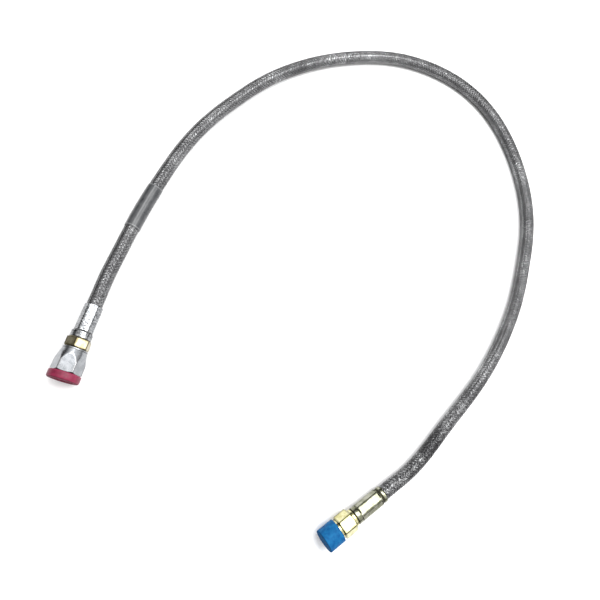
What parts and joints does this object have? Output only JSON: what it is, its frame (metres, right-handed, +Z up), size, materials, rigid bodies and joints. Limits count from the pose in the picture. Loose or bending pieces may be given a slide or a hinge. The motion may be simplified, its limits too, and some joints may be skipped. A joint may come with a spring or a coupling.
{
  "type": "compressor discharge hose",
  "caption": "Wire-braided compressor discharge hose with crimped ends: a swivel nut closed by a red plug and a male flare end closed by a blue cap.",
  "frame": {"origin": "on the floor, below the middle of the box round the two end fittings", "axes": "+X runs from the nut end's side to the flare end's side, +Y points to the crown of the hose's arch, +Z is up"},
  "size_m": [0.595, 0.6218, 0.0323],
  "materials": {
    "braid_steel": "woven stainless wire",
    "sleeve_grey": "smooth shrink sleeve",
    "zinc_silver": "clear zinc plated steel",
    "zinc_gold": "yellow zinc plated steel",
    "spring_steel": "bare drawn wire",
    "liner_white": "extruded tube",
    "plug_red": "moulded, satin",
    "cap_blue": "moulded, satin"
  },
  "bodies": {
    "hose_assembly": {"hose": "braid_steel", "marker_sleeve": "sleeve_grey", "nut_end_ferrule": "zinc_silver", "nut_end_braid": "braid_steel", "nut_end_liner": "liner_white", "nut_end_stem": "zinc_gold", "retaining_wire": "spring_steel", "flare_end_ferrule": "zinc_gold", "flare_end_braid": "braid_steel", "flare_end_liner": "liner_white", "flare_end_stem": "zinc_gold"},
    "nut": {"swivel_nut": "zinc_silver"},
    "plug": {"red_plug": "plug_red"},
    "cap": {"blue_cap": "cap_blue"}
  },
  "joints": [
    {"name": "nut_swivel", "type": "hinge", "parent": "hose_assembly", "child": "nut", "pos_m": [-0.1328, 0.1288, 0.01111], "axis": [-0.3183, -0.9457, 0.0658], "continuous": true},
    {"name": "plug_pull", "type": "slide", "parent": "nut", "child": "plug", "axis": [-0.3183, -0.9457, 0.0658], "range_m": [0, 0.03]},
    {"name": "cap_pull", "type": "slide", "parent": "hose_assembly", "child": "cap", "axis": [-0.8618, -0.5056, 0.0417], "range_m": [0, 0.04]}
  ]
}
